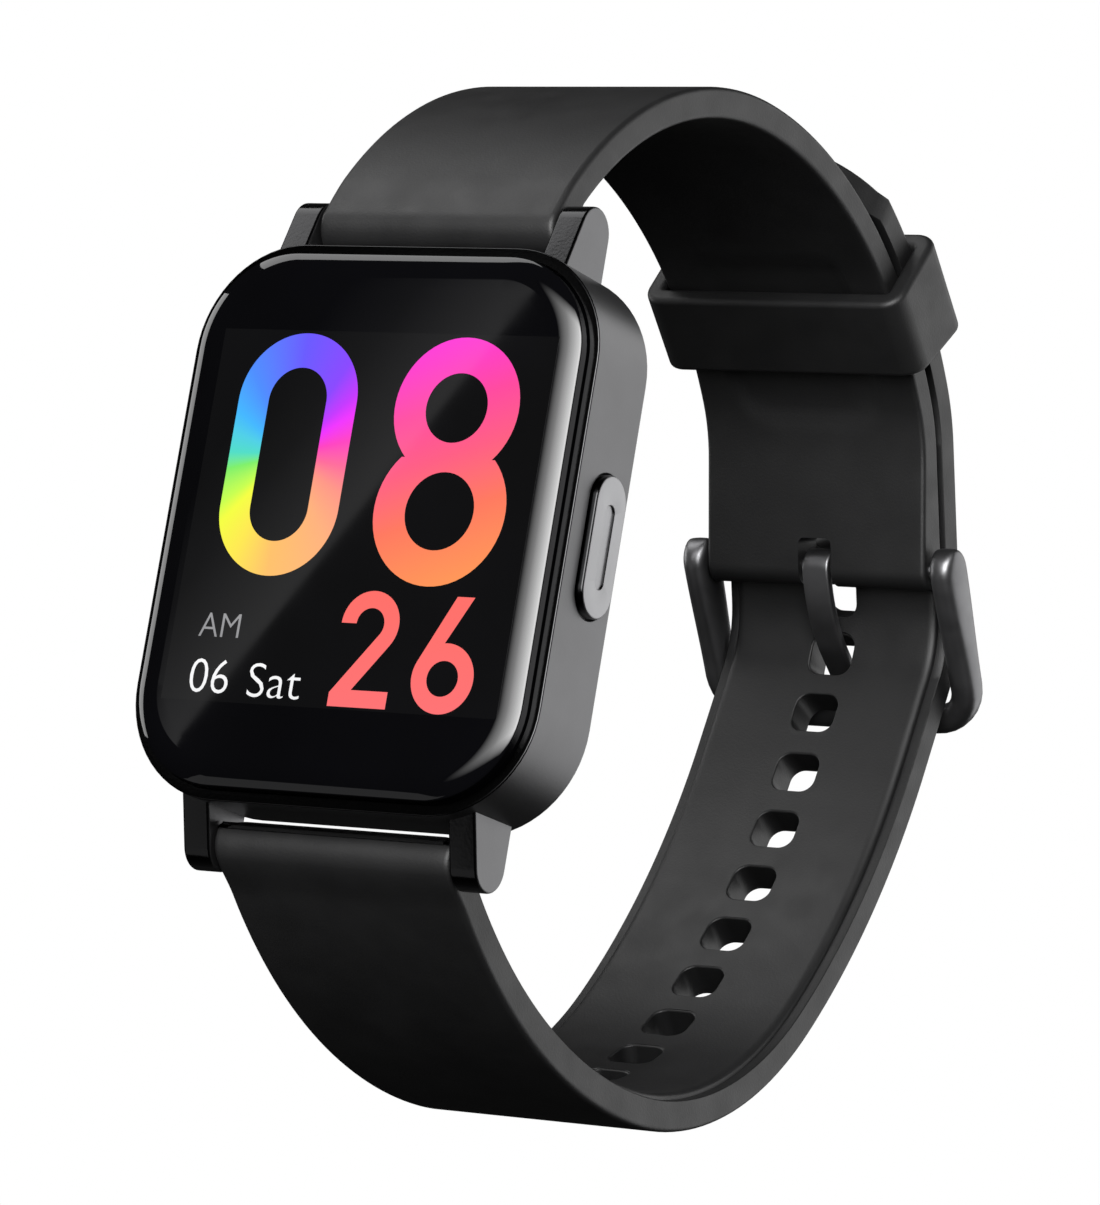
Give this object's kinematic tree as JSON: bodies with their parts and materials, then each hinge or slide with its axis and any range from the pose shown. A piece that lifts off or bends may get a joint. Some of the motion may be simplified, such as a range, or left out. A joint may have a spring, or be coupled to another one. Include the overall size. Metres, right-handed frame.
{
  "type": "smartwatch",
  "caption": "Square-faced smartwatch with a cover glass, side button and sensor back on a buckled silicone strap with keeper loop and pin buckle.",
  "frame": {"origin": "centre of the flat sensor window on the case back, which rests on the wrist", "axes": "+Z out of the display, +Y to 12 o'clock, +X to 3 o'clock and the side button"},
  "size_m": [0.0349, 0.0802, 0.0803],
  "materials": {
    "case_metal": "satin bead-blasted dark grey",
    "button_metal": "satin with polished bevel",
    "cover_glass": "polished black-backed glass",
    "display": "dark glass laminate",
    "strap_rubber": "fine-grained matt silicone",
    "buckle_metal": "polished gunmetal",
    "back_plastic": "satin black polymer",
    "sensor_glass": "tinted mineral glass",
    "bar_steel": "turned stainless steel",
    "contact_gold": "plated contact",
    "seal_rubber": "matt seal",
    "board": "solder-masked board",
    "flex": "polyimide film",
    "cell_foil": "foil pouch",
    "inner_plastic": "moulded carrier",
    "lead_red": "insulated lead",
    "motor_steel": "stamped can",
    "rotor_weight": "sintered weight"
  },
  "bodies": {
    "case": {"case_frame": "case_metal", "front_glass": "cover_glass", "glass_gasket": "seal_rubber", "touch_panel": "display", "display_panel": "display", "display_flex": "flex", "mid_frame": "inner_plastic", "main_board": "board", "battery": "cell_foil", "battery_lead": "lead_red", "motor_housing": "motor_steel", "back_cover": "back_plastic", "back_seal": "seal_rubber", "sensor_window": "sensor_glass", "sensor_board": "board", "sensor_flex": "flex", "charge_contact_left": "contact_gold", "charge_contact_right": "contact_gold", "cover_screw_1": "bar_steel", "cover_screw_2": "bar_steel", "cover_screw_3": "bar_steel", "cover_screw_4": "bar_steel", "button_seal": "seal_rubber", "tact_switch": "inner_plastic", "upper_bar_tube": "bar_steel", "upper_bar_spring": "bar_steel", "lower_bar_tube": "bar_steel", "lower_bar_spring": "bar_steel", "buckle_bar_tube": "bar_steel", "buckle_bar_spring": "bar_steel", "short_strap": "strap_rubber", "long_strap": "strap_rubber"},
    "button": {"button_cap": "button_metal", "button_clip": "bar_steel"},
    "plunger": {"switch_plunger": "inner_plastic"},
    "upper_pin": {"upper_bar_pin": "bar_steel"},
    "lower_pin": {"lower_bar_pin": "bar_steel"},
    "buckle_pin": {"buckle_bar_pin": "bar_steel"},
    "keeper": {"keeper_loop": "strap_rubber"},
    "buckle": {"buckle_frame": "buckle_metal"},
    "prong": {"buckle_prong": "buckle_metal"},
    "rotor": {"motor_rotor": "rotor_weight"}
  },
  "joints": [
    {"name": "button_press", "type": "slide", "parent": "case", "child": "button", "axis": [-1, 0, 0], "range_m": [0, 0.00035], "stiffness_N_per_m": 2500},
    {"name": "plunger_press", "type": "slide", "parent": "case", "child": "plunger", "axis": [-1, 0, 0], "range_m": [0, 0.00035]},
    {"name": "upper_pin_slide", "type": "slide", "parent": "case", "child": "upper_pin", "axis": [-1, 0, 0], "range_m": [0, 0.0011], "stiffness_N_per_m": 300, "deforming": ["upper_bar_spring"]},
    {"name": "lower_pin_slide", "type": "slide", "parent": "case", "child": "lower_pin", "axis": [-1, 0, 0], "range_m": [0, 0.0011], "stiffness_N_per_m": 300, "deforming": ["lower_bar_spring"]},
    {"name": "buckle_pin_slide", "type": "slide", "parent": "case", "child": "buckle_pin", "axis": [-1, 0, 0], "range_m": [0, 0.0011], "stiffness_N_per_m": 300, "deforming": ["buckle_bar_spring"]},
    {"name": "keeper_slide", "type": "hinge", "parent": "case", "child": "keeper", "pos_m": [0, 0.0011, -0.023], "axis": [1, 0, 0], "range_deg": [-5, 5.5]},
    {"name": "buckle_swing", "type": "hinge", "parent": "case", "child": "buckle", "pos_m": [0, 0.01385, -0.0585], "axis": [1, 0, 0], "range_deg": [0, 1.5]},
    {"name": "prong_swing", "type": "hinge", "parent": "buckle", "child": "prong", "pos_m": [0, 0.01385, -0.0585], "axis": [1, 0, 0], "range_deg": [0, 1.5]},
    {"name": "motor_spin", "type": "hinge", "parent": "case", "child": "rotor", "pos_m": [-0.007, 0.011, 0.0035], "axis": [0, 0, 1], "continuous": true}
  ],
  "couplings": [
    {"joint": "plunger_press", "follows": "button_press", "ratio": 1}
  ]
}
